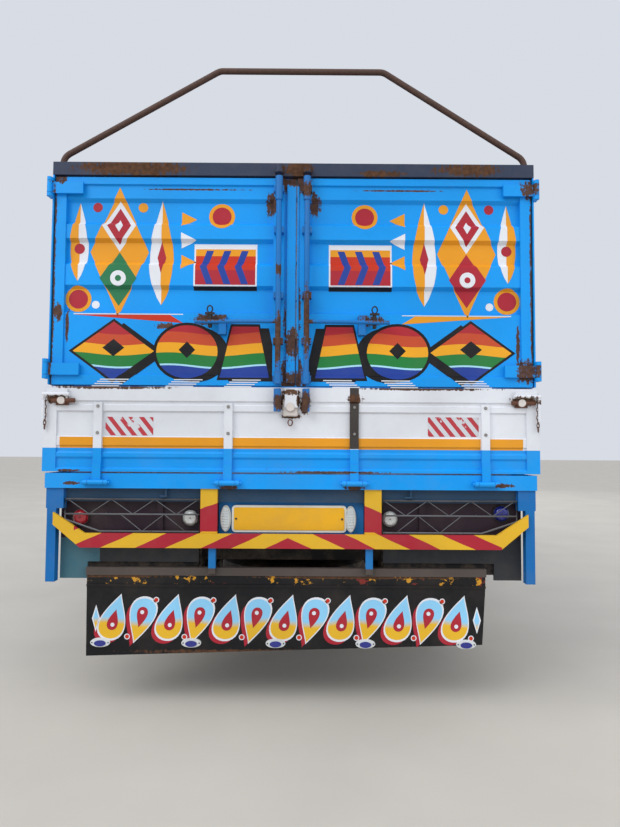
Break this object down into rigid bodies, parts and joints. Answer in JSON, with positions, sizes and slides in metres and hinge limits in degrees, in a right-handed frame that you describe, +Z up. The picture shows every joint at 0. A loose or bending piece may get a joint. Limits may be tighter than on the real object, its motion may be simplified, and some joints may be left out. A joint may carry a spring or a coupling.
{
  "type": "decorated drop-side cargo truck",
  "caption": "Cab-over lorry with high ribbed walls over drop gates, double rear doors, bent sheet bows, a painted striped tail and a full-width mud-flap board.",
  "frame": {"origin": "on the ground under the middle of the lorry's overall box", "axes": "+Y forward, +X to the lorry's right, +Z up"},
  "size_m": [2.47, 6.7, 2.9369],
  "materials": {
    "blue_paint": "gloss enamel over pressed steel",
    "cab_paint": "gloss enamel over pressed steel",
    "rusty_brown": "brown primer with rust",
    "maroon_paint": "dull brushed enamel",
    "striped_paint": "yellow and red enamel",
    "blue_grey_paint": "dull paint",
    "chassis_paint": "dusty black paint",
    "iron": "oily cast iron",
    "bare_steel": "heat-stained steel",
    "tyre_rubber": "dusty tread rubber",
    "rim_paint": "silver enamel",
    "clear_glass": "clear",
    "lamp_lens": "moulded lens",
    "head_lamp_lens": "clear pressed glass",
    "black_plastic": "grained moulding",
    "bumper_paint": "grey enamel",
    "flap_board": "black painted board",
    "floor_boards": "worn hardwood planks",
    "seat_vinyl": "grained vinyl"
  },
  "bodies": {
    "chassis": {"chassis_frame": "chassis_paint", "leaf_springs": "chassis_paint", "front_axle": "chassis_paint", "rear_axle": "chassis_paint", "engine_block": "iron", "propshaft": "iron", "fuel_tank": "chassis_paint", "battery_and_air_tank": "chassis_paint", "exhaust": "bare_steel", "spare_wheel": "tyre_rubber", "front_bumper": "bumper_paint", "head_lamps": "head_lamp_lens", "rear_mudguards": "chassis_paint", "underframe": "chassis_paint", "load_floor": "floor_boards", "side_sills": "blue_paint", "headboard": "blue_paint", "body_posts": "blue_paint", "upper_side_walls": "blue_paint", "top_rail": "rusty_brown", "roof_bows": "rusty_brown", "rear_sill": "blue_paint", "lamp_boards": "maroon_paint", "rear_lamps": "lamp_lens", "rear_bumper": "striped_paint", "lamp_guards": "blue_grey_paint", "mud_flap_board": "flap_board"},
    "cab": {"cab_shell": "cab_paint", "cab_glass": "clear_glass", "cab_seats": "seat_vinyl", "dashboard": "black_plastic", "grille": "black_plastic", "mirrors": "black_plastic"},
    "steering_wheel": {"steering_wheel": "black_plastic"},
    "cab_door_left": {"cab_door_left": "cab_paint", "door_glass_left": "clear_glass"},
    "cab_door_right": {"cab_door_right": "cab_paint", "door_glass_right": "clear_glass"},
    "knuckle_left": {"knuckle_left": "chassis_paint"},
    "knuckle_right": {"knuckle_right": "chassis_paint"},
    "tie_rod": {"tie_rod": "chassis_paint"},
    "wheel_front_left": {"tyre_front_left": "tyre_rubber", "rim_front_left": "rim_paint"},
    "wheel_front_right": {"tyre_front_right": "tyre_rubber", "rim_front_right": "rim_paint"},
    "wheels_rear_left": {"tyres_rear_left": "tyre_rubber", "rims_rear_left": "rim_paint"},
    "wheels_rear_right": {"tyres_rear_right": "tyre_rubber", "rims_rear_right": "rim_paint"},
    "side_gate_left_rear": {"side_gate_left_rear": "blue_paint"},
    "side_gate_left_front": {"side_gate_left_front": "blue_paint"},
    "side_gate_right_rear": {"side_gate_right_rear": "blue_paint"},
    "side_gate_right_front": {"side_gate_right_front": "blue_paint"},
    "tailgate": {"tailgate": "blue_paint"},
    "rear_door_left": {"rear_door_left": "blue_paint", "lock_rods_left": "blue_paint"},
    "rear_door_right": {"rear_door_right": "blue_paint", "lock_rods_right": "blue_paint"}
  },
  "joints": [
    {"name": "cab_tilt", "type": "hinge", "parent": "chassis", "child": "cab", "pos_m": [0, 3.22, 0.812], "axis": [-1, 0, 0], "range_deg": [0, 45]},
    {"name": "cab_door_left_open", "type": "hinge", "parent": "cab", "child": "cab_door_left", "pos_m": [-1.004, 3.118, 1.2], "axis": [0, 0, -1], "range_deg": [0, 65]},
    {"name": "cab_door_right_open", "type": "hinge", "parent": "cab", "child": "cab_door_right", "pos_m": [1.004, 3.118, 1.2], "axis": [0, 0, 1], "range_deg": [0, 65]},
    {"name": "steer_left", "type": "hinge", "parent": "chassis", "child": "knuckle_left", "pos_m": [-0.7025, 2.1965, 0.4025], "axis": [0, 0, 1], "range_deg": [-35, 35]},
    {"name": "steer_right", "type": "hinge", "parent": "chassis", "child": "knuckle_right", "pos_m": [0.7025, 2.1965, 0.4025], "axis": [0, 0, 1], "range_deg": [-35, 35]},
    {"name": "track_rod_left_end", "type": "hinge", "parent": "knuckle_left", "child": "tie_rod", "pos_m": [-0.7025, 2.0065, 0.31], "axis": [0, 0, 1], "range_deg": [-35, 35]},
    {"name": "steering_wheel_turn", "type": "hinge", "parent": "cab", "child": "steering_wheel", "pos_m": [-0.56, 2.745, 1.545], "axis": [0, -0.5, 0.866], "range_deg": [-630, 630]},
    {"name": "wheel_front_left_roll", "type": "hinge", "parent": "knuckle_left", "child": "wheel_front_left", "pos_m": [-0.8325, 2.1965, 0.4025], "axis": [1, 0, 0], "continuous": true},
    {"name": "wheel_front_right_roll", "type": "hinge", "parent": "knuckle_right", "child": "wheel_front_right", "pos_m": [0.8325, 2.1965, 0.4025], "axis": [1, 0, 0], "continuous": true},
    {"name": "wheels_rear_left_roll", "type": "hinge", "parent": "chassis", "child": "wheels_rear_left", "pos_m": [-0.7475, -1.5035, 0.4025], "axis": [1, 0, 0], "continuous": true},
    {"name": "wheels_rear_right_roll", "type": "hinge", "parent": "chassis", "child": "wheels_rear_right", "pos_m": [0.7475, -1.5035, 0.4025], "axis": [1, 0, 0], "continuous": true},
    {"name": "tailgate_drop", "type": "hinge", "parent": "chassis", "child": "tailgate", "pos_m": [0, -3.3205, 0.99], "axis": [1, 0, 0], "range_deg": [0, 90]},
    {"name": "side_gate_left_rear_drop", "type": "hinge", "parent": "chassis", "child": "side_gate_left_rear", "pos_m": [-1.122, -2.09112, 0.99], "axis": [0, -1, 0], "range_deg": [0, 170]},
    {"name": "side_gate_left_front_drop", "type": "hinge", "parent": "chassis", "child": "side_gate_left_front", "pos_m": [-1.122, 0.34163, 0.99], "axis": [0, -1, 0], "range_deg": [0, 170]},
    {"name": "side_gate_right_rear_drop", "type": "hinge", "parent": "chassis", "child": "side_gate_right_rear", "pos_m": [1.122, -2.09112, 0.99], "axis": [0, 1, 0], "range_deg": [0, 170]},
    {"name": "side_gate_right_front_drop", "type": "hinge", "parent": "chassis", "child": "side_gate_right_front", "pos_m": [1.122, 0.34163, 0.99], "axis": [0, 1, 0], "range_deg": [0, 170]},
    {"name": "rear_door_left_open", "type": "hinge", "parent": "chassis", "child": "rear_door_left", "pos_m": [-1.113, -3.3195, 1.909], "axis": [0, 0, -1], "range_deg": [0, 250]},
    {"name": "rear_door_right_open", "type": "hinge", "parent": "chassis", "child": "rear_door_right", "pos_m": [1.113, -3.3195, 1.909], "axis": [0, 0, 1], "range_deg": [0, 250]}
  ],
  "couplings": [
    {"joint": "steer_right", "follows": "steer_left", "ratio": 1},
    {"joint": "track_rod_left_end", "follows": "steer_left", "ratio": -1},
    {"joint": "steering_wheel_turn", "follows": "steer_left", "ratio": 18}
  ]
}
